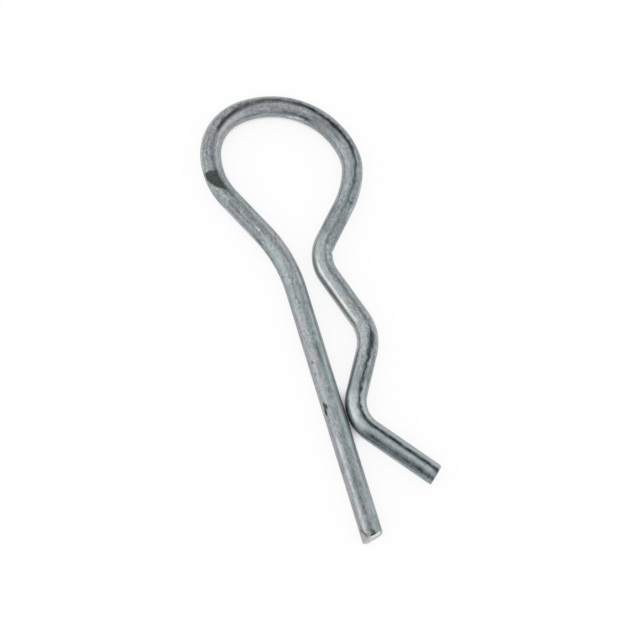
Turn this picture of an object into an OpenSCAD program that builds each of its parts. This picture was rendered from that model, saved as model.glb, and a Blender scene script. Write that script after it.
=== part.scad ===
// Hitch R-clip: one length of round spring wire, bent in one plane.
// The straight leg lies along X, and goes through the cross hole of a shaft that stands on the origin.
// The wavy leg comes back beside it from the bow. Its belly seats on the shaft, between two crests,
// the front crest springs shut against the straight leg, and the tail flares out to lead the shaft in.
// All radii are inside radii, as the bending pins have them.

/* [Wire] */
// Diameter of the wire
wire_d = 4; // [3:0.1:5]

/* [Shaft] */
// Diameter of the shaft that the belly seats on
shaft_d = 15.9; // [13:0.1:19]
// How much smaller the radius of the belly is than the shaft's, so that the shaft bears on its flanks
belly_undersize = 2.15; // [1:0.05:3.5]
// Clearance between the shaft and the top of the belly
seat_clearance = 0.15; // [0.1:0.05:0.6]
// Clearance between the shaft and the belly's back flank
back_clearance = 0.04; // [-0.3:0.01:0.08]
// Clearance between the shaft and the belly's front flank. Below 0, the flank springs open that far.
front_clearance = -0.17; // [-0.4:0.01:0.04]

/* [Straight leg] */
// Reach of the straight leg, from the shaft's centre to the tip
leg_reach = 36.5; // [28:0.1:50]
// Straight length behind the shaft's centre, as far as the kick
leg_back = 11.1; // [6:0.1:16]

/* [Wavy leg] */
// Gap between the back crest and the line of the straight leg
throat_gap = 2.3; // [0.5:0.1:4]
// Gap between the front crest and the straight leg, which the spring closes
nip_gap = 0.1; // [0.05:0.05:1]
// Radius of the two crests
crest_r = 4.6; // [3:0.1:6]
// Rise of the tail from the straight leg, in degrees
tail_rise = 38.3; // [20:0.1:60]
// Straight length of the tail
tail_len = 14; // [8:0.1:24]

/* [Bow] */
// Turn of the kick that leads the straight leg away into the bow, in degrees
kick_turn = 26; // [20:0.5:32]
// Radius of the kick
kick_r = 26; // [10:0.5:34]
// Turn of the heel, the first bend of the bow, in degrees
heel_turn = 40; // [30:0.5:50]
// Radius of the heel
heel_r = 12; // [8:0.5:16]
// Turn of the low shoulder, in degrees
low_turn = 70.5; // [60:0.5:80]
// Radius of the low shoulder
low_r = 7; // [5:0.1:9]
// Radius of the crown, which turns whatever the other bends leave
crown_r = 14; // [11:0.1:18]
// Turn of the high shoulder, in degrees
high_turn = 24.5; // [15:0.5:35]
// Radius of the high shoulder
high_r = 6.4; // [4:0.1:10]
// Turn of the flank, the last bend of the bow, in degrees
flank_turn = 24.5; // [15:0.5:35]
// Radius of the flank
flank_r = 15.4; // [8:0.1:22]
// Dip of the neck towards the straight leg, in degrees
neck_dip = 42.9; // [36:0.1:50]

/* [Sheared ends] */
// Radius that the shear rolls on the edge it enters, at both ends
roll_r = 0.5; // [0.2:0.05:1]
// Height of the torn lip on the far edge of the straight leg's tip
lip_h = 0.15; // [0.05:0.05:0.8]
// Width of the torn lip, across the wire
lip_w = 1.6; // [0.5:0.05:2]
// Skew of the straight leg's tip in the plane of the clip, in degrees. Below 0, the lip's side is longer.
tip_skew = -8; // [-12:1:12]
// Rake of the straight leg's tip, in degrees, which leaves its top shorter than its underside
tip_rake = 8; // [0:1:15]
// Skew of the tail's end, in degrees. Below 0, the side towards the straight leg is longer.
tail_skew = -3; // [-12:1:12]

/* [Hidden] */
$fn = 64;
zinc = "#9aa1a4";

// Radii and levels of the wire's centreline
crest_line = crest_r + wire_d / 2;
belly_r = shaft_d / 2 - belly_undersize;
belly_line = belly_r + wire_d / 2;
belly_level = shaft_d / 2 + seat_clearance + wire_d / 2;
back_level = wire_d + throat_gap;
front_level = wire_d + nip_gap;

// Each straight flank between the belly and a crest is tangent to the belly's circle, and its slope
// is the one at which it passes the shaft with the given clearance.
// Its length then comes from the drop to the crest, and so does the crest's place along the leg.
function flank_slope(clearance) =
    acos((belly_undersize + clearance) / (belly_undersize + seat_clearance));
function flank_run(slope, level) =
    (belly_level - level - (belly_line + crest_line) * (1 - cos(slope))) / sin(slope);

back_slope = flank_slope(back_clearance);
back_run = flank_run(back_slope, back_level);
back_crest = (belly_line + crest_line) * sin(back_slope) + back_run * cos(back_slope);
front_slope = flank_slope(front_clearance);
front_run = flank_run(front_slope, front_level);

// A state of the bending is [x, y, heading]. A positive turn is to the left.
function heading(angle) = [cos(angle), sin(angle)];
function after_run(state, run) =
    [state[0] + run * cos(state[2]), state[1] + run * sin(state[2]), state[2]];
function after_bend(state, line_r, turn) =
    let (r = sign(turn) * line_r, end = state[2] + turn)
    [state[0] + r * (sin(end) - sin(state[2])), state[1] + r * (cos(state[2]) - cos(end)), end];
// State after the first few moves of a list. A move is [straight run, inside radius, turn, swell].
function after_moves(state, list, count) =
    count == 0 ? state
    : let (before = after_moves(state, list, count - 1), move = list[count - 1])
      after_bend(after_run(before, move[0]), move[1] + wire_d / 2, move[2]);

// Where two lengths of wire meet, one is swollen by a hair in radius and the other laps into it,
// so that their end faces never meet. Both sizes are far too small to see.
swollen = 0.02;
plain = 0;
lap = 0.1;

// The bow turns to the right until it heads down the neck.
crown_turn = 180 + kick_turn + neck_dip - heel_turn - low_turn - high_turn - flank_turn;
kick = [0, kick_r, kick_turn, swollen];
shoulders = [[0, low_r, -low_turn, plain],
             [0, crown_r, -crown_turn, swollen],
             [0, high_r, -high_turn, plain],
             [0, flank_r, -flank_turn, swollen]];

// The run before the bow and the neck's run after it are the two lengths that bring the
// wire round to the back crest: together they close what the bends leave open.
leg_end = [-leg_back, 0, 180];
open_moves = concat([kick, [0, heel_r, -heel_turn, swollen]], shoulders);
open_end = after_moves(leg_end, open_moves, len(open_moves));
crest_start = [-back_crest - crest_line * sin(neck_dip),
               back_level + crest_line * (1 - cos(neck_dip))];
opening = [crest_start[0] - open_end[0], crest_start[1] - open_end[1]];
kick_way = heading(180 + kick_turn);
neck_way = heading(-neck_dip);
kick_run = cross(opening, neck_way) / cross(kick_way, neck_way);
neck_run = cross(kick_way, opening) / cross(kick_way, neck_way);

moves = concat([kick, [kick_run, heel_r, -heel_turn, swollen]],
               shoulders,
               [[neck_run, crest_r, neck_dip + back_slope, swollen],
                [back_run, belly_r, -(back_slope + front_slope), swollen],
                [front_run, crest_r, front_slope + tail_rise, swollen]]);
states = [for (i = [0:len(moves)]) after_moves(leg_end, moves, i)];
tail_start = states[len(moves)];

// How much longer than it is a sheared end is drawn, past the top of its lip
shear_allowance = 1;

// Puts its children at a state, with X along the heading
module at(state) {
    translate([state[0], state[1], 0])
        rotate(state[2])
            children();
}

// A straight run of plain wire, which laps into its neighbours at both ends
module run(length) {
    translate([-lap, 0, 0])
        rotate([0, 90, 0])
            cylinder(d = wire_d, h = length + 2 * lap);
}

// A bend of the given centreline radius. A plain one laps into the swollen ones beside it.
module bend(line_r, turn, swell) {
    side = sign(turn);
    lap_turn = swell > 0 ? 0 : lap / line_r * 180 / PI;
    translate([0, side * line_r, 0])
        rotate_extrude(angle = turn + 2 * side * lap_turn, start = -side * (90 + lap_turn))
            translate([line_r, 0])
                circle(r = wire_d / 2 + swell);
}

// What the shear takes off beyond an end at the origin, with X outwards.
// The edge at +Y is rolled, and a lip of the given height is left standing at -Y.
// The roll is tangent to the wire's side and to the skewed cut, so its centre follows the skew.
module shear_waste(skew, rake, lip) {
    roll_y = wire_d / 2 - roll_r;
    roll_x = (roll_y * sin(skew) - roll_r) / cos(skew);
    corner = 2 * roll_r;
    rotate([0, -rake, 0])
        linear_extrude(height = 2 * wire_d, center = true) {
            rotate(-skew) {
                translate([0, lip > 0 ? lip_w - wire_d / 2 : -wire_d])
                    square([wire_d, 2 * wire_d]);
                if (lip > 0)
                    translate([lip, -wire_d])
                        square([wire_d, 2 * wire_d]);
            }
            translate([roll_x, roll_y])
                difference() {
                    polygon([[0, 0], corner * heading(-skew), [corner, corner], [0, corner]]);
                    circle(r = roll_r);
                }
        }
}

// A straight end of the wire, sheared off at the given length
module sheared_end(length, skew, rake, lip) {
    difference() {
        run(length + lip + shear_allowance);
        translate([length, 0, 0])
            shear_waste(skew, rake, lip);
    }
}

module r_clip() {
    color(zinc) {
        translate([-leg_back, 0, 0])
            sheared_end(leg_back + leg_reach, tip_skew, tip_rake, lip_h);
        for (i = [0:len(moves) - 1]) {
            move = moves[i];
            if (move[0] > 0)
                at(states[i])
                    run(move[0]);
            at(after_run(states[i], move[0]))
                bend(move[1] + wire_d / 2, move[2], move[3]);
        }
        at(tail_start)
            sheared_end(tail_len, tail_skew, 0, 0);
    }
}

r_clip();
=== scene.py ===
import math
import bpy
import numpy as np
from mathutils import Matrix, Vector


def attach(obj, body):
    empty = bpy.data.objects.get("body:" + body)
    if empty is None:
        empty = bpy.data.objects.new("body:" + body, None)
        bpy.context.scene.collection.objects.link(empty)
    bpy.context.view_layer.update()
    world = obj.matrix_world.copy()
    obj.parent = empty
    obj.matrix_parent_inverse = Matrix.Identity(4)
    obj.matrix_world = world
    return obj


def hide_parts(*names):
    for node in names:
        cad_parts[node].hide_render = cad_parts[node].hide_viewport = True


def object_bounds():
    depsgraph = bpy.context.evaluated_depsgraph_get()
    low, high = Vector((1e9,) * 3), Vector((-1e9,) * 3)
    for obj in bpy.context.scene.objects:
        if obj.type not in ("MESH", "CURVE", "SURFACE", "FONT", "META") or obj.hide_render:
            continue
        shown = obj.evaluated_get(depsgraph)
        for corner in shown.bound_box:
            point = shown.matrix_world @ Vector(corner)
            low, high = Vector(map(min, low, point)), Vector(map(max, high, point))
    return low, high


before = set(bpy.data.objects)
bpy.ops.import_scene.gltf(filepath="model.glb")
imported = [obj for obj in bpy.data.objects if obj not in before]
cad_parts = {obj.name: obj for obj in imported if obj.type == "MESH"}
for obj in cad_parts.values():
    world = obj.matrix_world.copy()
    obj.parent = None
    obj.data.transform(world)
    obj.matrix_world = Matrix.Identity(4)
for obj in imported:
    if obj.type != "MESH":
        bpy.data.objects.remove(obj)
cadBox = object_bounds()
mm = 0.001
print("stage: frame loaded, nodes", sorted(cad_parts))


# ---- The clip: one wire, bent in one plane ----

# Sizes in millimetres and degrees, as the wire is bent. Radii are inside radii.
wire = {
    "radius": 2.0,
    "legReach": 36.5,           # from the shaft's centre to the straight leg's tip
    "legBack": 11.1,            # from the shaft's centre back to the kick
    "kick": (26.0, 26.0),       # inside radius and turn
    "heel": (12.0, -40.0),
    "lowShoulder": (7.0, -70.5),
    "crownRadius": 14.0,
    "highShoulder": (6.4, -24.5),
    "flank": (15.4, -24.5),
    "neckDip": 42.9,
    "crestRadius": 4.6,
    "throatGap": 2.3,
    "nipGap": 0.1,
    "shaftRadius": 7.95,
    "bellyUndersize": 2.15,
    "seatClearance": 0.15,
    "backClearance": 0.04,
    "frontClearance": -0.17,
    "tailRise": 38.3,
    "tailLength": 14.0,
}


# A flank's slope: the one at which a line tangent to the belly passes the shaft at the clearance.
# Its length is what the drop from the belly to the crest leaves after both bends.
def flankOf(w, clearance, crestLevel):
    bellyLine = w["shaftRadius"] - w["bellyUndersize"] + w["radius"]
    crestLine = w["crestRadius"] + w["radius"]
    bellyLevel = w["shaftRadius"] + w["seatClearance"] + w["radius"]
    slope = math.acos((w["bellyUndersize"] + clearance) / (w["bellyUndersize"] + w["seatClearance"]))
    bendDrop = (bellyLine + crestLine) * (1 - math.cos(slope))
    run = (bellyLevel - crestLevel - bendDrop) / math.sin(slope)
    place = (bellyLine + crestLine) * math.sin(slope) + run * math.cos(slope)
    return math.degrees(slope), run, place


# The segments of a chain of moves, each a straight run and then a bend. A segment has a length and a
# curvature, and its chord is length * sinc(half its turn), in the direction half way through its turn.
def segmentsOf(start, moves):
    runs, radii, turns = np.array(moves, float).T
    turns = np.radians(turns)
    lengths = np.column_stack([runs, radii * np.abs(turns)]).ravel()
    curvatures = np.column_stack([np.zeros(len(runs)), np.sign(turns) / radii]).ravel()
    halfTurns = lengths * curvatures / 2
    headings = start[2] + np.concatenate([[0], np.cumsum(2 * halfTurns)])
    chords = lengths * np.sinc(halfTurns / np.pi)
    across = headings[:-1] + halfTurns
    x = start[0] + np.concatenate([[0], np.cumsum(chords * np.cos(across))])
    y = start[1] + np.concatenate([[0], np.cumsum(chords * np.sin(across))])
    return {
        "s": np.concatenate([[0], np.cumsum(lengths)]),
        "x": x,
        "y": y,
        "heading": headings,
        "curvature": curvatures,
    }


# The whole centreline, from the straight leg's tip round the bow to the tail's end. The run before the
# bow and the run down the neck are the two lengths that close the bow on the back crest.
def centrelineOf(w):
    r = w["radius"]
    crestLine = w["crestRadius"] + r
    backLevel = 2 * r + w["throatGap"]
    backSlope, backRun, backPlace = flankOf(w, w["backClearance"], backLevel)
    frontSlope, frontRun, _ = flankOf(w, w["frontClearance"], 2 * r + w["nipGap"])
    bellyLine = w["shaftRadius"] - w["bellyUndersize"] + r
    turned = sum(w[name][1] for name in ("kick", "heel", "lowShoulder", "highShoulder", "flank"))
    crownTurn = -(180 + w["neckDip"] + turned)
    moves = [
        [w["legBack"] + w["legReach"], w["kick"][0] + r, w["kick"][1]],
        [0, w["heel"][0] + r, w["heel"][1]],
        [0, w["lowShoulder"][0] + r, w["lowShoulder"][1]],
        [0, w["crownRadius"] + r, crownTurn],
        [0, w["highShoulder"][0] + r, w["highShoulder"][1]],
        [0, w["flank"][0] + r, w["flank"][1]],
        [0, crestLine, w["neckDip"] + backSlope],
        [backRun, bellyLine, -(backSlope + frontSlope)],
        [frontRun, crestLine, frontSlope + w["tailRise"]],
        [w["tailLength"], crestLine, 0],
    ]
    start = [w["legReach"], 0, math.pi]
    dip = math.radians(w["neckDip"])
    crestStart = np.array([-backPlace - crestLine * math.sin(dip),
                           backLevel + crestLine * (1 - math.cos(dip))])
    opened = segmentsOf(start, moves[:6])
    opening = crestStart - [opened["x"][-1], opened["y"][-1]]
    ways = np.array([opened["heading"][2], opened["heading"][-1]])
    runs = np.linalg.solve([np.cos(ways), np.sin(ways)], opening)
    moves[1][0], moves[6][0] = runs
    return segmentsOf(start, moves)


# Points on the centreline at arc lengths s of any shape: x, y and heading.
def alongLine(line, s):
    segment = np.clip(np.searchsorted(line["s"], s, side="right") - 1, 0, len(line["curvature"]) - 1)
    travel = s - line["s"][segment]
    halfTurn = travel * line["curvature"][segment] / 2
    chord = travel * np.sinc(halfTurn / np.pi)
    across = line["heading"][segment] + halfTurn
    x = line["x"][segment] + chord * np.cos(across)
    y = line["y"][segment] + chord * np.sin(across)
    return x, y, line["heading"][segment] + 2 * halfTurn


# Goes from 0 at low to 1 at high along a smooth S-curve. Where low is the larger, it falls.
def smoothStep(value, low, high):
    t = np.clip((value - low) / (high - low), 0, 1)
    return t * t * (3 - 2 * t)


# Noise on a grid with a standard deviation of 1: white noise blurred by a Gaussian of the given widths
# in grid steps. The blur is done on its Fourier transform, so it is seamless round the wire.
def smoothNoise(shape, widths, seed):
    white = np.random.default_rng(seed).standard_normal(shape)
    rows = np.fft.fftfreq(shape[0])[:, None] * widths[0]
    columns = np.fft.rfftfreq(shape[1])[None, :] * widths[1]
    kept = np.exp(-2 * np.pi ** 2 * (rows ** 2 + columns ** 2))
    soft = np.fft.irfft2(np.fft.rfft2(white) * kept, shape)
    return soft / soft.std()


# How far a place (s, arc length round the wire) is inside a convex outline: its least distance to
# the outline's edges, below 0 outside. The corners run anticlockwise, with s to the right.
def insideOutline(corners, s, arc):
    corners = np.array(corners, float)
    ahead = np.roll(corners, -1, axis=0) - corners
    ahead /= np.hypot(ahead[:, 0], ahead[:, 1])[:, None]
    distances = [(arc - y) * dx - (s - x) * dy for (x, y), (dx, dy) in zip(corners, ahead)]
    return np.min(distances, axis=0)


# The two sheared ends, in millimetres and degrees. Left is the side on the left of a traveller who sets
# out from the tip: the straight leg's outer side. In a pair, something begins at the first value and is
# full at the second.
ends = {
    "fadeLength": 3.0,          # over which the end's shape dies out along the wire
    "burr": 0.08,               # radius of the rim where the shear neither rolls nor tears it
    "roll": 0.45,               # radius of the edge that the shear enters
    "rollFrom": (0.1, 0.95),    # where it rolls, across the wire, as shares of its radius
    "tornCorner": 0.3,          # radius of the torn corner opposite
    "tornFrom": (0.6, 1.0),
    "tipSkew": 8.0,
    "tipRake": 8.0,
    "lipHeight": 0.15,
    "lipFrom": (0.4, 0.7),      # where the torn lip rises, left of the wire's centre
    "tailSkew": 3.0,
    "tornGrain": 0.02,
    "grainFrom": (-0.4, 0.8),   # left of the centre, as far as the rim
    "grainTo": (2.0, 1.7),      # from the centre
    "facet": (0.19, 0.80, 0.57),        # normal of the torn facet: out of the tip, left, up
    "facetDistance": 1.60,
    "facingLeast": 0.05,        # how far it is held off on the sides that it doesn't face
    "facetEdge": (0.01, -0.04),         # how far its plane is outside the wire
    "faceSheen": 0.15,          # how bright the whole of the tip's face is, from 0 to 1
    # the bright band on the tip's face is a painted highlight
    "highlightUp": (0.65, 1.05),     # the bright band by its top: how far up, and its ends on the right and left
    "highlightRight": (-1.7, -1.1),
    "highlightLeft": (0.9, 0.2),
    "lowerSheen": 0.50,         # the half below it
    "lowerUp": (0.2, -0.3),
    "lowerRight": (-1.6, -0.9),
}

# The surface's grid and its relief, in millimetres. The noises have a size along the wire and one round it.
surface = {
    "around": 104,
    "faceRings": 9,
    "rimRings": 7,
    "endStep": 0.1,             # ring spacing within fadeLength of an end
    "step": 0.236,              # ring spacing along the rest
    "seed": 41,
    "faceGrain": (1.2, 3),      # grid steps
    "drawMark": 0.0012,         # relief of the die's marks along the wire
    "drawnSize": (3.0, 0.13),
    "kneading": 0.0040,         # orange peel where the wire was bent
    "peelSize": (0.36, 0.26),
    "waviness": 0.0050,
    "wavySize": (4.0, 1.3),
    "sunk": 1.2,                # standard deviations that the waves lie below the wire's radius
    "raggedSize": (0.28, 0.2),  # of the noise that frays the edges of marks
    "patchDepth": 0.012,
    "pitDepth": 0.03,
}

# What drawing, bending, plating and use left on the wire, and the painted reflections, highlights and shade
# laid over it. Places along it are arc lengths from the tip in millimetres, and places round it are degrees
# from its left side over the top. Shares go from 0 to 1.
wear = {
    # arc length and how much the bending pins kneaded and scraped the plating
    "kneaded": [
        (0, 0.35), (46, 0.35), (56, 0.3), (60, 0.8), (80, 0.8), (84, 1.2), (100, 1.0), (106, 0.6),
        (122, 0.6), (126, 0.9), (134, 0.9), (140, 0.45), (149, 0.5), (153, 1.1), (157, 0.95),
        (161, 0.55), (168, 0.4), (189, 0.45),
    ],
    "bearingAngle": 1.2,        # radians, where the pins bore, on the upper left
    "bearingWidth": 1.7,        # mm
    "restKneaded": 0.25,        # share of the kneading on the other side
    # arc length and how dull the plating is: handled on the straight leg, bright on the wavy one
    "dull": [
        (0, 0.9), (40, 1.0), (70, 1.0), (96, 0.7), (104, 0.2), (122, 0.3), (134, 0.6), (142, 0.2),
        (152, 0.5), (168, 0.1), (189, 0.0),
    ],
    # arc length and how violet it is on its left and on its right
    "violet": [
        (0, 1.0, 0.5), (20, 1.0, 0.55), (41, 0.95, 0.5), (55, 0.15, 0.5), (69, 0.4, 0.35),
        (80, 0.85, 0.8), (88, 1.1, 0.95), (100, 1.0, 1.0), (110, 0.8, 0.8), (120, 0.75, 0.8),
        (134, 0.25, 0.3), (142, 0.5, 0.7), (155, 0.8, 0.5), (166, 0.85, 0.55), (176, 0.1, 0.1),
        (188, 0.1, 0.15),
    ],
    "violetTurn": (0.9, 1.9),   # radians, where the left's tint goes over into the right's
    "violetWave": 0.15,         # how far the waves move it
    # arc length and how brown it is, on its left and on its right
    "brownLeft": [
        (66, 0.0), (72, 0.3), (77, 0.1), (83, 0.4), (92, 0.4), (98, 0.1), (112, 0.1), (118, 0.0),
    ],
    "brownLeftAngle": 0.7,      # radians, the middle of that side
    "brownLeftFade": (0.5, 0.9),        # cosines of the angle from there
    "brownRight": [(130, 0.0), (138, 0.2), (147, 0.6), (156, 0.35), (166, 0.2), (172, 0.0)],
    "brownRightFrom": (1.5, 2.2),       # radians
    "brownRightTo": (4.2, 3.5),
    # arc length and how blue it is, all round
    "blue": [
        (0, 0.0), (60, 0.0), (76, 0.2), (86, 0.1), (92, 0.0), (120, 0.1), (150, 0.0), (160, 0.1),
        (170, 0.3), (189, 0.25),
    ],

    # The dark line along the wire is a painted dark reflection of the dark opening overhead, which the
    # studio's gap
    # gives only in part: arc length, degrees and share
    "darkReflection": [
        (0, 88, 0.45), (14, 89, 0.3), (22, 92, 0.05), (30, 100, 0.05), (34, 102, 0.3),
        (38, 104, 0.05), (46, 108, 0.15), (54, 112, 0.15), (62, 107, 0.2), (70, 104, 0.3),
        (82, 106, 0.35), (86, 104, 0.85), (90, 96, 0.75), (93, 86, 0.42), (96, 77, 0.5),
        (102, 76, 0.88), (110, 77, 1.15), (114, 71, 0.95), (118, 73, 0.8), (124, 79, 0.5),
        (134, 79, 0.3), (138, 72, 0.18), (146, 73, 0.45), (150, 70, 0.4), (154, 67, 0.5),
        (158, 78, 0.85), (162, 80, 0.92), (166, 78, 0.88), (174, 71, 0.93), (189, 71, 0.97),
    ],
    # arc length and its half width in mm, and then how far its edges stray
    "darkReflectionHalfWidth": [
        (0, 0.44), (104, 0.44), (108, 0.47), (114, 0.42), (128, 0.3), (148, 0.28), (156, 0.35),
        (189, 0.41),
    ],
    "darkReflectionStray": [
        (0, 0.04), (74, 0.08), (126, 0.08), (134, 0.05), (150, 0.05), (155, 0.12), (166, 0.12),
        (172, 0.05), (189, 0.05),
    ],
    "darkReflectionBreak": 0.08,          # how far its share varies

    # Outlines with their corners as (arc length, arc round the wire): the bare patch that the plating
    # rack left behind the kick, a dark mark on top of the tip, and painted shade along the edge where its
    # torn facet begins.
    # The edge goes from nothing to full over the band, from outside to inside.
    "rackPatch": {
        "corners": [(70.2, 3.45), (72.3, 2.25), (73.3, 1.35), (74.1, 1.00), (75.95, 0.98), (75.8, 2.4),
                    (75.2, 3.74), (72.5, 3.76)],
        "stray": 0.05,
        "band": (-0.04, 0.14),
        "share": 1.0,
    },
    "tipDarkMark": {
        "corners": [(-0.4, 2.5), (0.6, 2.5), (2.0, 3.05), (1.4, 3.75), (0.4, 4.4), (-0.4, 4.5)],
        "stray": 0.10,
        "band": (0.0, 0.60),
        "share": 0.85,
    },
    # painted shade along the upper edge of the tip's torn facet
    "tipFacetShade": {
        "corners": [(0.10, 1.85), (1.80, 0.75), (2.30, 1.22), (0.75, 2.55)],
        "stray": 0.05,
        "band": (-0.05, 0.28),
        "share": 0.65,
    },

    # Pits and stains, and beads of the painted dark reflection: arc length, degrees, half length, half
    # width, share
    "pitsAndBeads": [
        # beads of the painted dark reflection on the straight leg
        (2.6, 96, 0.50, 0.20, 0.30),
        (4.5, 90, 0.40, 0.20, 0.32),
        (5.6, 88, 0.38, 0.20, 0.42),
        (7.4, 87, 0.55, 0.16, 0.22),
        (9.2, 88, 0.55, 0.16, 0.22),
        (23.7, 40, 0.75, 0.36, 1.0),
        (24.7, 50, 0.50, 0.38, 1.0),
        (25.3, 43, 0.45, 0.26, 0.9),
        (27.6, 97, 0.50, 0.20, 0.35),
        (31.0, 48, 0.40, 0.26, 0.6),
        (33.2, 53, 0.44, 0.30, 0.8),
        (38.3, 103, 0.26, 0.20, 0.5),
        (43.6, 96, 0.80, 0.14, 0.4),
        (47.5, 112, 0.35, 0.18, 0.4),
        (56.6, 24, 0.50, 0.16, 0.45),
        (57.7, 117, 0.34, 0.26, 0.55),
        (58.4, 128, 0.40, 0.20, 0.45),
        (59.4, 29, 1.50, 0.20, 0.60),
        (79.2, 72, 0.40, 0.24, 0.30),
        (80.9, 62, 0.34, 0.22, 0.30),
        (81.8, 78, 0.40, 0.20, 0.28),
        # beads of the painted dark reflection on the bow
        (85.3, 102, 0.45, 0.22, 0.45),
        (87.6, 98, 0.50, 0.22, 0.50),
        (89.6, 92, 0.40, 0.20, 0.40),
        (91.6, 79, 0.45, 0.22, 0.35),
        (93.4, 70, 0.50, 0.20, 0.35),
        (95.6, 66, 0.40, 0.18, 0.35),
        (97.2, 70, 0.40, 0.18, 0.35),
        (124.9, 60, 0.26, 0.55, 0.60),
        (125.8, 58, 0.27, 0.60, 0.75),
        # beads of the painted dark reflection by the belly
        (154.5, 71, 0.35, 0.24, 0.5),
        (154.8, 63, 0.30, 0.22, 0.55),
        (156.1, 75, 0.75, 0.38, 0.8),
        (157.1, 67, 0.26, 0.20, 0.5),
        (157.6, 82, 0.35, 0.22, 0.45),
        (158.7, 86, 0.30, 0.18, 0.45),
    ],
    # Bright scuffs, where the plating was rubbed off
    "scuffs": [
        (16.2, 60, 0.80, 0.12, 0.6),
        (45.0, 71, 0.32, 0.20, 0.9),
        (58.6, 47, 0.40, 0.12, 0.6),
        (60.9, 77, 0.30, 0.17, 0.85),
        (61.5, 73, 0.20, 0.14, 0.6),
        (66.8, 18, 0.60, 0.20, 0.7),
        (100.9, 165, 0.60, 0.18, 0.7),
        (102.5, 157, 0.60, 0.22, 1.0),
        (103.5, 154, 0.50, 0.18, 1.0),
        (104.7, 157, 0.45, 0.16, 0.9),
        (127.0, 38, 0.70, 0.15, 0.5),
    ],
    "ovalEdge": (0.30, 0.62),   # heights of an oval's hill between which its edge lies
    "ovalStray": 0.12,
    # Longer streaks, from and to along the wire, degrees at both, half width, share. The dark ones are
    # partly painted dark reflections and painted shade, partly smears; the bright ones are painted
    # highlights
    "shadeAndSmearStreaks": [
        (32.0, 36.7, 104, 104, 0.22, 0.25),
        (53.0, 61.0, 16, 16, 0.25, 0.25),
        (59.0, 69.0, 42, 42, 0.55, 0.20),
        (59.5, 63.6, 94, 94, 0.20, 0.26),
        (60.0, 69.0, 65, 64, 0.26, 0.40),
        (62.4, 68.6, 87, 86, 0.18, 0.24),
        (68.8, 72.2, 104, 105, 0.42, 0.45),
        (69.6, 76.0, 105, 104, 0.27, 0.58),
        (76.0, 90.0, 72, 66, 0.70, 0.16),
        (77.0, 84.0, 90, 90, 1.20, 0.12),
        (84.0, 90.0, 105, 99, 0.42, 0.65),
        (84.0, 105.0, 62, 58, 0.80, 0.18),
        (88.5, 94.5, 153, 150, 0.22, 0.40),
        (89.0, 98.0, 88, 72, 0.85, 0.54),
        (90.0, 100.5, 142, 138, 0.30, 0.25),
        (91.0, 97.5, 111, 109, 0.24, 0.28),
        (96.0, 112.5, 128, 124, 0.85, 0.24),
        (99.0, 105.5, 137, 137, 0.30, 0.70),
        (104.5, 113.5, 168, 168, 0.50, 0.25),
        (105.0, 113.0, 107, 107, 0.42, 0.52),
        (113.0, 121.0, 48, 50, 0.50, 0.26),
        (120.0, 135.0, 50, 50, 1.00, 0.27),
        (127.0, 135.0, 127, 127, 0.60, 0.34),
        (132.0, 137.0, 140, 146, 0.28, 0.15),
        (152.5, 157.5, 53, 58, 0.40, 0.28),
        (154.6, 157.0, 66, 73, 0.58, 1.00),
        (158.5, 166.0, 42, 42, 0.32, 0.28),
        (158.5, 166.0, 140, 140, 0.30, 0.26),
        (171.4, 189.5, 123, 122, 0.58, 0.72),
        (186.9, 189.5, 76, 86, 0.45, 0.90),
        # painted shadow in the nip between the front crest and the straight leg, where the wires touch
        (168.2, 171.4, 170, 170, 0.90, 1.00),
        (21.4, 24.0, 180, 180, 0.60, 1.00),
    ],
    # painted highlights along the wire, with the same columns
    "highlightStreaks": [
        (1.8, 19.0, 61, 59, 0.26, 0.40),
        (4.0, 48.0, 139, 139, 0.50, 0.24),
        (25.0, 47.0, 56, 56, 0.40, 0.12),
        (46.0, 57.0, 148, 146, 0.30, 0.30),
        (48.0, 69.0, 125, 124, 0.40, 0.30),
        (48.5, 58.5, 62, 60, 0.60, 0.18),
        (60.0, 69.0, 12, 12, 0.35, 0.35),
        (76.0, 98.0, 26, 48, 0.40, 0.32),
        (76.5, 83.0, 134, 140, 0.50, 0.32),
        (83.0, 91.0, 134, 130, 0.60, 0.28),
        (121.0, 129.0, 25, 22, 0.40, 0.30),
        (133.0, 140.5, 143, 146, 0.35, 0.30),
        (133.5, 140.5, 112, 118, 0.95, 0.22),
        (138.5, 152.0, 124, 125, 0.23, 0.85),
        (138.5, 152.0, 112, 112, 0.70, 0.18),
        (151.0, 159.0, 158, 158, 0.35, 0.30),
        (151.5, 158.5, 114, 118, 0.60, 0.18),
        (152.0, 158.0, 147, 146, 0.50, 0.45),
        (152.0, 158.0, 30, 28, 0.35, 0.25),
        (164.0, 174.0, 52, 48, 0.38, 0.30),
        (166.0, 172.8, 106, 116, 0.75, 0.55),
        (174.0, 188.5, 46, 46, 0.40, 0.24),
        (174.0, 187.0, 88, 88, 0.30, 0.16),
    ],
    "streakFade": 0.8,          # mm on either side of a streak's end, over which it fades
    "streakBreak": 0.15,        # how far its share varies

    # The nick that a bending pin left inside the back crest: place, degrees, half length, half width, depth
    "pinNick": (136.3, 0, 0.55, 1.30, 0.24),
}


# A value at arc lengths s, from the rows of a table along the wire.
def alongWire(rows, s, column=1):
    table = np.array(rows, float)
    return np.interp(s, table[:, 0], table[:, column])


# How much an outlined mark covers each place.
def outlined(mark, s, arc, ragged):
    inside = insideOutline(mark["corners"], s, arc) + mark["stray"] * ragged
    return mark["share"] * smoothStep(inside, *mark["band"])


# How far round the wire each angle is from a place, in millimetres, the short way.
def awayFrom(degrees, angle, radius):
    return ((angle - math.radians(degrees) + np.pi) % (2 * np.pi) - np.pi) * radius


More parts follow.
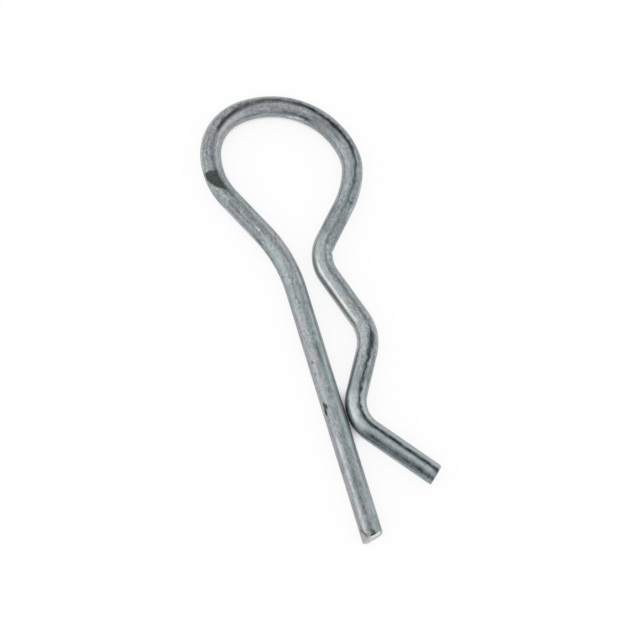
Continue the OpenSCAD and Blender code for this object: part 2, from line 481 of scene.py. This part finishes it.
# The share of streaks: each a Gaussian ridge along the wire, which fades in and out at its ends and is
# broken up a little.
def streaks(rows, worn, radius, s, angle, ragged):
    total = np.zeros_like(s)
    fade = worn["streakFade"]
    for start, end, fromDegrees, toDegrees, halfWidth, share in rows:
        centre = np.radians(np.interp(s, [start, end], [fromDegrees, toDegrees]))
        ridge = np.exp(-((angle - centre) * radius / halfWidth) ** 2)
        shown = smoothStep(s, start - fade, start + fade) * smoothStep(s, end + fade, end - fade)
        total = np.maximum(total, share * ridge * shown * (1 + worn["streakBreak"] * ragged))
    return np.clip(total, 0, 1)


# A scatter of oval marks, each a Gaussian hill, cut off near half its height with a ragged edge.
def ovals(rows, worn, radius, s, angle, ragged):
    total = np.zeros_like(s)
    for place, degrees, halfLength, halfWidth, share in rows:
        away = awayFrom(degrees, angle, radius)
        hill = np.exp(-((s - place) / halfLength) ** 2 - (away / halfWidth) ** 2)
        total = np.maximum(total, share * smoothStep(hill + worn["ovalStray"] * ragged, *worn["ovalEdge"]))
    return total


# The clip's surface, a grid of (ring, angle). A ring of the body is a circle square to the centreline.
# A ring of an end is a part of its face or of its rolled rim, and its height over the square end plane
# is the cut's: left * tan(skew) - up * tan(rake) + the torn lip. That height fades out into the body.
def clipGrid(w, e, g, worn, line):
    total = line["s"][-1]
    angle = np.linspace(0, 2 * np.pi, g["around"], endpoint=False)[None, :]
    left, up = np.cos(angle), np.sin(angle)

    # Stations of the body
    ending = np.arange(g["endStep"], e["fadeLength"], g["endStep"])
    middle = np.linspace(e["fadeLength"], total - e["fadeLength"],
                         int((total - 2 * e["fadeLength"]) / g["step"]))
    station = np.concatenate([ending, middle, total - ending[::-1]])[:, None]

    # Radius of the rim at each angle: rolled on the right and torn on the left at the tip, and rolled on
    # the left at the tail
    torn = smoothStep(left, *e["tornFrom"])
    tipRim = (e["burr"] + (e["roll"] - e["burr"]) * smoothStep(-left, *e["rollFrom"])
              + (e["tornCorner"] - e["burr"]) * torn)
    tailRim = e["burr"] + (e["roll"] - e["burr"]) * smoothStep(left, *e["rollFrom"])

    # How far the torn facet's plane is from the centreline. It is held off where the plane isn't faced.
    facing = np.maximum(e["facet"][1] * left + e["facet"][2] * up, e["facingLeast"])

    def facetAt(s):
        return (e["facetDistance"] + e["facet"][0] * s) / facing

    tipRadius = np.minimum(w["radius"], facetAt(0.0))
    bodyRadius = np.minimum(w["radius"], facetAt(station))
    tailRadius = np.full_like(angle, w["radius"])

    # Height of the cut over the square plane, at a place on the face
    def tipHeight(radius):
        lip = e["lipHeight"] * smoothStep(radius * left, *e["lipFrom"])
        skewed = radius * left * math.tan(math.radians(e["tipSkew"]))
        raked = radius * up * math.tan(math.radians(e["tipRake"]))
        return skewed - raked + lip

    def tailHeight(radius):
        return -radius * left * math.tan(math.radians(e["tailSkew"]))

    # Face and rim of an end, from its middle outwards: radius and depth under the cut's surface
    share = np.linspace(0, 1, g["faceRings"] + 1)[1:, None]
    roll = np.linspace(0, np.pi / 2, g["rimRings"] + 1)[1:, None]

    def endRings(radius, rimRadius):
        face = share * (radius - rimRadius)
        across = np.vstack([face, radius - rimRadius * (1 - np.sin(roll))])
        depth = np.vstack([np.zeros_like(face), rimRadius * (1 - np.cos(roll))])
        return across, depth

    tipAcross, tipDepth = endRings(tipRadius, tipRim)
    tailAcross, tailDepth = endRings(tailRadius, tailRim)
    grain = smoothNoise(tipAcross.shape, g["faceGrain"], g["seed"] + 5)
    coarse = e["tornGrain"] * grain * smoothStep(tipAcross * left, *e["grainFrom"])
    tipS = tipDepth - tipHeight(tipAcross) + coarse * smoothStep(tipAcross, *e["grainTo"])
    tailS = total + tailHeight(tailAcross) - tailDepth

    fadeTip = np.clip(1 - station / e["fadeLength"], 0, 1)
    fadeTail = np.clip(1 - (total - station) / e["fadeLength"], 0, 1)
    bodyS = (station + fadeTip * (tipRim - tipHeight(tipRadius))
             - fadeTail * (tailRim - tailHeight(tailRadius)))

    s = np.vstack([tipS, bodyS, tailS[::-1]])
    radius = np.vstack([tipAcross, bodyRadius, tailAcross[::-1]])
    angle = np.broadcast_to(angle, s.shape)
    arc = angle * w["radius"]
    endCount = g["faceRings"] + g["rimRings"]
    side = np.zeros(s.shape)
    side[endCount:-endCount] = 1

    # Noises of the side, each with its own seed
    def noiseOf(size, seed):
        stepRound = 2 * np.pi * w["radius"] / g["around"]
        return smoothNoise(s.shape, (size[0] / g["step"], size[1] / stepRound), g["seed"] + seed)

    drawn = noiseOf(g["drawnSize"], 0)
    peel = noiseOf(g["peelSize"], 1)
    wavy = noiseOf(g["wavySize"], 2)
    ragged = noiseOf(g["raggedSize"], 3)

    # Kneading, which is strongest where the pins bore
    bearing = np.exp(-((angle - worn["bearingAngle"]) * w["radius"] / worn["bearingWidth"]) ** 2)
    rest = worn["restKneaded"]
    kneaded = alongWire(worn["kneaded"], s) * (rest + (1 - rest) * bearing)

    # Tints of the plating
    toRight = smoothStep(angle, *worn["violetTurn"])
    violet = (1 - toRight) * alongWire(worn["violet"], s) + toRight * alongWire(worn["violet"], s, 2)
    onLeft = smoothStep(np.cos(angle - worn["brownLeftAngle"]), *worn["brownLeftFade"])
    onRight = smoothStep(angle, *worn["brownRightFrom"]) * smoothStep(angle, *worn["brownRightTo"])
    brown = alongWire(worn["brownLeft"], s) * onLeft + alongWire(worn["brownRight"], s) * onRight

    # The painted dark reflection along the wire, the streaks and the marks
    darkReflectionAngle = np.radians(alongWire(worn["darkReflection"], s))
    fromDarkReflection = (angle - darkReflectionAngle) * w["radius"] + alongWire(worn["darkReflectionStray"], s) * ragged
    ridge = np.exp(-(fromDarkReflection / alongWire(worn["darkReflectionHalfWidth"], s)) ** 2)
    darkReflection = alongWire(worn["darkReflection"], s, 2) * ridge * (1 + worn["darkReflectionBreak"] * ragged)
    place = (worn, w["radius"], s, angle, ragged)
    # The painted dark reflection along the wire, with the dark streaks: partly painted reflections and
    # shade, partly smears
    darkReflectionsAndSmears = 1 - (1 - np.clip(darkReflection, 0, 1)) * (1 - streaks(worn["shadeAndSmearStreaks"], *place))
    # painted highlights
    paintedHighlights = streaks(worn["highlightStreaks"], *place)
    pittedAndBeaded = ovals(worn["pitsAndBeads"], *place)
    scuffed = ovals(worn["scuffs"], *place)
    patch = outlined(worn["rackPatch"], s, arc, ragged)
    tipDark = outlined(worn["tipDarkMark"], s, arc, ragged)
    facetShade = outlined(worn["tipFacetShade"], s, arc, ragged)
    facet = smoothStep(facetAt(s) - w["radius"], *e["facetEdge"]) * (s < e["fadeLength"])

    # Relief of the side
    relief = g["drawMark"] * drawn + g["kneading"] * kneaded * peel + g["waviness"] * (wavy - g["sunk"])
    relief -= g["patchDepth"] * patch + g["pitDepth"] * pittedAndBeaded
    nickPlace, nickDegrees, halfLength, halfWidth, depth = worn["pinNick"]
    away = awayFrom(nickDegrees, angle, w["radius"])
    relief -= depth * np.exp(-np.abs((s - nickPlace) / halfLength) ** 1.5 - (away / halfWidth) ** 2)
    radius = radius + relief * side

    # Onto the centreline
    x, y, heading = alongLine(line, s)
    points = np.stack([x - np.sin(heading) * radius * np.cos(angle),
                       y + np.cos(heading) * radius * np.cos(angle),
                       radius * np.sin(angle)], axis=-1)
    unbent = np.stack([s, radius * np.cos(angle), radius * np.sin(angle)], axis=-1)

    # The tip's face has a painted highlight: a bright band by its top, where the blade burnished it, and a
    # weaker painted sheen on its lower half, where it broke and is duller
    toLeft, toTop = tipAcross * left, tipAcross * up
    band = smoothStep(toLeft, *e["highlightRight"]) * smoothStep(toLeft, *e["highlightLeft"])
    band = smoothStep(toTop, *e["highlightUp"]) * band
    lower = e["lowerSheen"] * smoothStep(toTop, *e["lowerUp"]) * smoothStep(toLeft, *e["lowerRight"])
    cutFaceSheen = np.zeros(s.shape)
    cutFaceSheen[:endCount] = np.maximum(e["faceSheen"] + (1 - e["faceSheen"]) * band, lower)
    marks = {
        # grime of the patch, the pits and the tip, with painted shade along the facet's edge and beads of
        # the painted dark reflection
        "grimeAndShade": np.maximum.reduce([patch, pittedAndBeaded, tipDark, facetShade]) * side,
        "bareSteel": patch * side,
        # scuffs, with the painted highlights of the bright streaks
        "scuffAndHighlight": np.maximum(scuffed, paintedHighlights) * side,
        # painted dark reflection and dark streaks: partly painted shade and reflections, partly smears
        "dark": darkReflectionsAndSmears * side,
        "kneaded": kneaded,
        "violet": np.clip(violet + worn["violetWave"] * wavy, 0, 1),
        "brown": brown,
        "blue": alongWire(worn["blue"], s),
        "dull": alongWire(worn["dull"], s),
        "torn": np.maximum(facet * side, 1 - side),
        # painted highlight and sheen on the tip's face
        "cutFaceSheen": cutFaceSheen,
    }
    return points, unbent, marks


# A closed mesh from a grid whose columns run round: quads between rings, and a fan to a pole at each end.
def closedGrid(name, points, unbent, marks):
    rings, around = points.shape[:2]
    number = np.arange(rings * around).reshape(rings, around)
    ahead = np.roll(number, -1, axis=1)
    quads = np.stack([number[:-1], ahead[:-1], ahead[1:], number[1:]], axis=-1).reshape(-1, 4)
    pole = np.full(around, rings * around)
    fans = np.concatenate([np.column_stack([pole, ahead[0], number[0]]),
                           np.column_stack([pole + 1, number[-1], ahead[-1]])])

    # A grid's values as a list, with those of the poles at its end: the means of the rings beside them
    def spread(grid):
        return np.concatenate([grid.reshape(rings * around, -1),
                               grid[0].reshape(around, -1).mean(0)[None],
                               grid[-1].reshape(around, -1).mean(0)[None]])

    mesh = bpy.data.meshes.new(name)
    mesh.from_pydata((spread(points) * mm).tolist(), [], quads.tolist() + fans.tolist())
    mesh.polygons.foreach_set("use_smooth", np.ones(len(mesh.polygons), bool))
    place = mesh.attributes.new("unbent", "FLOAT_VECTOR", "POINT")
    place.data.foreach_set("vector", spread(unbent).astype(np.float32).ravel())
    for key, grid in marks.items():
        attribute = mesh.attributes.new(key, "FLOAT", "POINT")
        attribute.data.foreach_set("value", spread(grid).astype(np.float32).ravel())
    mesh.validate()
    mesh.update()
    piece = bpy.data.objects.new(name, mesh)
    bpy.context.scene.collection.objects.link(piece)
    return piece


line = centrelineOf(wire)
clip = closedGrid("clip_wire", *clipGrid(wire, ends, surface, wear, line))
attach(clip, "root")
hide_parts("r_clip")
print("stage: wire", round(line["s"][-1], 2), "mm long,", len(clip.data.polygons), "faces")


# ---- Materials ----

# A colour written in sRGB hex, as the linear values that sockets take
def linearColour(code):
    srgb = np.array([int(code[i:i + 2], 16) for i in (0, 2, 4)]) / 255
    linear = np.where(srgb <= 0.04045, srgb / 12.92, ((srgb + 0.055) / 1.055) ** 2.4)
    return (*linear.tolist(), 1.0)


# Adds a node with its settings, and sets or links its inputs.
def addNode(tree, kind, settings=None, inputs=None):
    node = tree.nodes.new("ShaderNode" + kind)
    for name, value in (settings or {}).items():
        setattr(node, name, value)
    for name, value in (inputs or {}).items():
        if isinstance(value, bpy.types.NodeSocket):
            tree.links.new(value, node.inputs[name])
        else:
            node.inputs[name].default_value = value
    return node


# Zinc-plated spring steel: drawn wire, bent cold and then electroplated, bright but a little greyed.
# The eye gets a grey metal between green and violet, drawn out in fine streaks along the wire, with a
# soft gloss that breaks up where the bending pins kneaded it.
zinc = {
    "green": "82999a",
    "violet": "9d999f",
    "warm": "a3a099",
    "brown": "9a948a",
    "cool": "8c98a6",
    "dark": "6a7373",
    "light": "b4babb",
    # colour of the painted dark reflection along the wire
    "darkReflection": ("1a282a", "24262c"),       # where the plating is green, and where it is violet
    "bareSteel": "47514b",
    # the grime's colour, which also paints shade along the tip's facet edge and the dark reflection's beads
    "grimeAndShade": "3b403a",
    # the scuffs' colour, which also paints the highlights
    "scuffAndHighlight": "dfe6e2",
    # near-white cut colour, which paints the highlight on the tip's face
    "cut": "dedfe1",
    "torn": "aeb0aa",
    "metallic": 0.72,           # the rest is the chalky bloom of zinc oxide
    "brightRoughness": (0.35, 0.70, 0.17, 0.23),        # over this range of the clouds, from and to
    "dullRoughness": 0.18,      # what it adds, as the next two do
    "grimeAndShadeRoughness": 0.25,
    "cutRoughness": 0.20,
    # Noises: mm along the wire, mm round it, octaves, roughness, and a shift that keeps them apart
    "noises": {
        "cloud": (4.333, 2.6, 2, 0.5, 0),
        "streak": (9.0, 0.55, 3, 0.5, 40),          # die marks, drawn coarser than the real 0.1 mm
        "fineStreak": (3.6, 0.25, 2, 0.5, 90),
        "peel": (0.50, 0.50, 2, 0.5, 150),          # orange peel of the bends
        "grain": (0.92, 0.46, 2, 0.7, 200),         # the plating's crystals, coarser than the real 0.05 mm
        "smear": (2.857, 0.909, 3, 0.5, 260),
        "tint": (2.222, 1.111, 2, 0.5, 320),
        "speckle": (0.40, 0.40, 1, 0.5, 380),       # the chromate's matt spots
        "warmth": (2.0, 1.0, 2, 0.5, 440),
    },
    # Layers of colour: a noise, the values where it begins to show and where it is full, its most, colour
    "tints": [
        ("warmth", 0.50, 0.70, 0.45, "warm"),
        ("warmth", 0.50, 0.30, 0.45, "cool"),
    ],
    "layers": [
        ("cloud", 0.52, 0.72, 0.30, "dark"),
        ("streak", 0.52, 0.74, 0.42, "dark"),
        ("streak", 0.48, 0.26, 0.42, "light"),
        ("fineStreak", 0.50, 0.72, 0.28, "dark"),
        ("fineStreak", 0.50, 0.28, 0.28, "light"),
        ("smear", 0.50, 0.72, 0.50, "dark"),
        ("smear", 0.50, 0.28, 0.35, "light"),
    ],
    # Layers that the kneading brings out: the same, but with the most where the wire is smooth, what the
    # kneading adds to it, and whether the clouds make it patchy
    "kneadedLayers": [
        ("grain", 0.50, 0.72, 0.30, 0.75, True, "dark"),
        ("grain", 0.50, 0.28, 0.30, 0.75, True, "light"),
        ("peel", 0.53, 0.68, 0.0, 0.58, False, "dark"),
        ("peel", 0.47, 0.32, 0.0, 0.38, False, "light"),
        ("speckle", 0.50, 0.70, 0.24, 0.22, True, "dark"),
        ("speckle", 0.50, 0.30, 0.24, 0.22, True, "light"),
    ],
    # A noise's range, and what is made of its ends: how far the tint moves the plating from green towards
    # violet, and by how much the clouds scale the patchy layers and the grain scales the painted dark
    # reflection and dark streaks
    "tintSwing": (0.35, 0.65, -0.28, 0.28),
    "patchiness": (0.38, 0.62, 0.6, 1.25),
    "reflectionAndStreakGrain": (0.25, 0.75, 1.10, 0.90),
    "bareSteelPeel": (0.30, 0.60),      # range of the orange peel over which the steel is bared
    "tornShare": 0.75,
    "scuffAndHighlightShare": 0.8,
    "peelHeight": 0.032,        # mm
    "streakHeight": 0.0024,
}


def zincMaterial(z):
    material = bpy.data.materials.new("zinc_plated_spring_steel")
    material.use_nodes = True
    tree = material.node_tree
    tree.nodes.clear()

    def read(name, output="Fac"):
        return addNode(tree, "Attribute", {"attribute_name": name}).outputs[output]

    def noise(along, across, octaves, rough, shift):
        moved = addNode(tree, "Mapping", None, {
            "Vector": unbent, "Location": (shift, 0, 0), "Scale": (1 / along, 1 / across, 1 / across),
        })
        return addNode(tree, "TexNoise", None, {
            "Vector": moved.outputs["Vector"], "Scale": 1.0, "Detail": octaves, "Roughness": rough,
        }).outputs["Fac"]

    def ranged(value, low, high, toLow=0.0, toHigh=1.0):
        return addNode(tree, "MapRange", {"interpolation_type": "SMOOTHSTEP"}, {
            "Value": value, "From Min": low, "From Max": high, "To Min": toLow, "To Max": toHigh,
        }).outputs["Result"]

    def maths(operation, first, second):
        return addNode(tree, "Math", {"operation": operation}, {0: first, 1: second}).outputs["Value"]

    def blend(factor, first, second):
        mix = addNode(tree, "Mix", {"data_type": "RGBA"}, {"Factor": factor})
        for index, colour in ((6, first), (7, second)):
            if isinstance(colour, str):
                mix.inputs[index].default_value = linearColour(colour)
            else:
                tree.links.new(colour, mix.inputs[index])
        return mix.outputs[2]

    # A colour under a layer of another, which shows where a noise is past a value
    def layered(tone, value, begins, full, share, colour):
        return blend(maths("MULTIPLY", ranged(value, begins, full), share), tone, colour)

    unbent = read("unbent", "Vector")
    noises = {name: noise(*row) for name, row in z["noises"].items()}
    kneaded = read("kneaded")
    grimeAndShade = read("grimeAndShade")
    cutFaceSheen = read("cutFaceSheen")

    violet = maths("ADD", read("violet"), ranged(noises["tint"], *z["tintSwing"]))
    tone = blend(violet, z["green"], z["violet"])
    for name, begins, full, share, colour in z["tints"]:
        tone = layered(tone, noises[name], begins, full, share, z[colour])
    tone = blend(read("brown"), tone, z["brown"])
    tone = blend(read("blue"), tone, z["cool"])
    for name, begins, full, share, colour in z["layers"]:
        tone = layered(tone, noises[name], begins, full, share, z[colour])

    patchy = ranged(noises["cloud"], *z["patchiness"])
    for name, begins, full, plain, more, broken, colour in z["kneadedLayers"]:
        share = maths("ADD", plain, maths("MULTIPLY", kneaded, more))
        if broken:
            share = maths("MULTIPLY", share, patchy)
        tone = layered(tone, noises[name], begins, full, share, z[colour])

    # The painted dark reflection and the dark streaks, which are partly painted shade and reflections and
    # partly smears, broken up a little by the grain, and then the ends and the marks
    reflectionAndStreakShare = maths("MULTIPLY", read("dark"), ranged(noises["grain"], *z["reflectionAndStreakGrain"]))
    tone = blend(reflectionAndStreakShare, tone, blend(violet, *z["darkReflection"]))
    tone = blend(maths("MULTIPLY", read("torn"), z["tornShare"]), tone, z["torn"])
    tone = blend(cutFaceSheen, tone, z["cut"])
    # grime, with painted shade at the tip's facet edge and the beads of the painted dark reflection
    tone = blend(grimeAndShade, tone, z["grimeAndShade"])
    tone = layered(tone, noises["peel"], *z["bareSteelPeel"], read("bareSteel"), z["bareSteel"])
    # scuffs and painted highlights
    tone = blend(maths("MULTIPLY", read("scuffAndHighlight"), z["scuffAndHighlightShare"]), tone, z["scuffAndHighlight"])

    roughness = ranged(noises["cloud"], *z["brightRoughness"])
    roughness = maths("ADD", roughness, maths("MULTIPLY", read("dull"), z["dullRoughness"]))
    roughness = maths("ADD", roughness, maths("MULTIPLY", grimeAndShade, z["grimeAndShadeRoughness"]))
    roughness = maths("ADD", roughness, maths("MULTIPLY", cutFaceSheen, z["cutRoughness"]))

    # Heights in millimetres
    relief = maths("MULTIPLY", maths("MULTIPLY", noises["peel"], kneaded), z["peelHeight"])
    relief = maths("ADD", relief, maths("MULTIPLY", noises["streak"], z["streakHeight"]))
    bump = addNode(tree, "Bump", None, {"Strength": 1.0, "Distance": mm, "Height": relief})

    shader = addNode(tree, "BsdfPrincipled", None, {
        "Base Color": tone,
        "Metallic": z["metallic"],
        "Roughness": roughness,
        "Normal": bump.outputs["Normal"],
    })
    addNode(tree, "OutputMaterial", None, {"Surface": shader.outputs["BSDF"]})
    return material


clip.data.materials.append(zincMaterial(zinc))
print("stage: zinc plating")


# ---- Studio ----

# A tent of soft white light round the clip, with brighter panels and gaps in it. Each one is
# (heading and height in degrees, half widths across and up as shares of the distance, turn, strength).
studio = {
    "floorSize": 3.0,           # metres
    "floorColour": "fafafa",
    "ownWhite": 0.85,           # share of its white that the floor gives by itself to what looks at it
    "softWhite": "ffffff",
    "nipReach": 2.6,            # mm, how near the wire has to be to close the floor in
    "nipOpenness": (0.12, 0.45),        # where the floor's own white begins and where it is full
    "tent": 1.1,
    "panels": [
        (268, 33, 0.16, 0.42, 17, 0.5),         # a strip light
        (246, 20, 0.50, 0.50, 0, 0.3),          # its spill on the tent
        (98, 18, 0.35, 0.35, 0, 0.25),          # a white card opposite
        (128, 46, 0.33, 0.33, 0, -0.4),         # the opening overhead that the camera looks through
        (159, 17, 0.25, 0.45, 10, -0.4),        # gaps between the tent's sides
        (302, 25, 0.35, 0.50, 14, -0.4),
    ],
}


# A matt pale sweep. What looks at it or mirrors it sees mostly its own white, and the rest is lit by
# the studio, so that it keeps the clip's shadow.
def floorMaterial(st):
    material = bpy.data.materials.new("matt_pale_sweep")
    material.use_nodes = True
    tree = material.node_tree
    tree.nodes.clear()

    def maths(operation, first, second):
        return addNode(tree, "Math", {"operation": operation}, {0: first, 1: second}).outputs["Value"]

    lit = addNode(tree, "BsdfDiffuse", None, {"Color": linearColour(st["floorColour"])})
    white = addNode(tree, "Emission", None, {"Color": linearColour(st["softWhite"]), "Strength": 1.0})
    rays = addNode(tree, "LightPath").outputs
    seen = maths("MAXIMUM", rays["Is Camera Ray"], rays["Is Glossy Ray"])
    seen = maths("MAXIMUM", seen, rays["Is Transmission Ray"])
    # Its own white gives out only where the wire closes it in, as in the nip
    occlusion = addNode(tree, "AmbientOcclusion", {"samples": 12}, {"Distance": st["nipReach"] * mm})
    closed, clear = st["nipOpenness"]
    openness = addNode(tree, "MapRange", {"interpolation_type": "SMOOTHSTEP"}, {
        "Value": occlusion.outputs["AO"], "From Min": closed, "From Max": clear,
    }).outputs["Result"]
    share = maths("MULTIPLY", maths("MULTIPLY", seen, openness), st["ownWhite"])
    mixed = addNode(tree, "MixShader", None, {
        "Fac": share, 1: lit.outputs["BSDF"], 2: white.outputs["Emission"],
    })
    addNode(tree, "OutputMaterial", None, {"Surface": mixed.outputs["Shader"]})
    return material


half = studio["floorSize"] / 2
floorMesh = bpy.data.meshes.new("floor")
floorZ = cadBox[0].z
corners = [(-half, -half, floorZ), (half, -half, floorZ), (half, half, floorZ), (-half, half, floorZ)]
floorMesh.from_pydata(corners, [], [(0, 1, 2, 3)])
floor = bpy.data.objects.new("floor", floorMesh)
bpy.context.scene.collection.objects.link(floor)
floor.data.materials.append(floorMaterial(studio))


# A panel's share of the light from a direction is exp(-d * d), where d is the distance from the panel's
# middle on the unit sphere, measured in its half widths.
def tentWorld(st):
    world = bpy.data.worlds.new("tent")
    world.use_nodes = True
    tree = world.node_tree
    tree.nodes.clear()
    direction = addNode(tree, "TexCoord").outputs["Generated"]
    total = st["tent"]
    for heading, height, across, up, turned, strength in st["panels"]:
        facing = (Matrix.Rotation(math.radians(heading), 3, "Z")
                  @ Matrix.Rotation(-math.radians(height), 3, "Y"))
        # Its own axes: x away from the clip, y across, z up, and turned about x
        axes = facing @ Matrix.Rotation(math.radians(turned), 3, "X")
        placed = addNode(tree, "Mapping", {"vector_type": "TEXTURE"}, {
            "Vector": direction, "Location": facing @ Vector((1, 0, 0)),
            "Rotation": axes.to_euler(), "Scale": (1, across, up),
        }).outputs["Vector"]
        squared = addNode(tree, "VectorMath", {"operation": "DOT_PRODUCT"}, {0: placed, 1: placed})
        less = addNode(tree, "Math", {"operation": "MULTIPLY"}, {0: squared.outputs["Value"], 1: -1.0})
        share = addNode(tree, "Math", {"operation": "EXPONENT"}, {0: less.outputs["Value"]})
        total = addNode(tree, "Math", {"operation": "MULTIPLY_ADD"}, {
            0: share.outputs["Value"], 1: strength, 2: total,
        }).outputs["Value"]
    sky = addNode(tree, "Background", None, {"Color": (1, 1, 1, 1), "Strength": total})
    addNode(tree, "OutputWorld", None, {"Surface": sky.outputs["Background"]})
    return world


bpy.context.scene.world = tentWorld(studio)
print("stage: studio")


# ---- Camera ----

# It looks down on the clip from a little below the picture's middle.
view = {
    "aside": (2.35, -1.89),     # mm, where it looks, from the middle of the clip's box
    "distance": 221.5,          # mm
    "upHeading": 163.14,        # degrees, what is up in the picture
    "leanUp": -14.18,           # degrees, how far the camera stands towards the picture's top
    "leanRight": -0.71,
    "lens": 67.5,
}
low, high = cadBox
look = Vector(((low.x + high.x) / 2 + view["aside"][0] * mm,
               (low.y + high.y) / 2 + view["aside"][1] * mm, 0))
upHeading = math.radians(view["upHeading"])
flatUp = Vector((math.cos(upHeading), math.sin(upHeading), 0))
flatRight = Vector((math.sin(upHeading), -math.cos(upHeading), 0))
back = Vector((0, 0, 1)) + math.tan(math.radians(view["leanRight"])) * flatRight
back = (back + math.tan(math.radians(view["leanUp"])) * flatUp).normalized()
cameraUp = (flatUp - back * back.dot(flatUp)).normalized()
cameraRight = cameraUp.cross(back)
camera = bpy.data.objects.new("camera", bpy.data.cameras.new("camera"))
bpy.context.scene.collection.objects.link(camera)
camera.data.lens = view["lens"]
camera.data.sensor_width = 36
camera.data.clip_start = 0.01
camera.data.clip_end = 10
turn = Matrix((cameraRight, cameraUp, back)).transposed()
camera.matrix_world = Matrix.Translation(look + back * view["distance"] * mm) @ turn.to_4x4()
bpy.context.scene.camera = camera
bpy.context.scene.view_settings.view_transform = "Standard"
print("stage: camera")
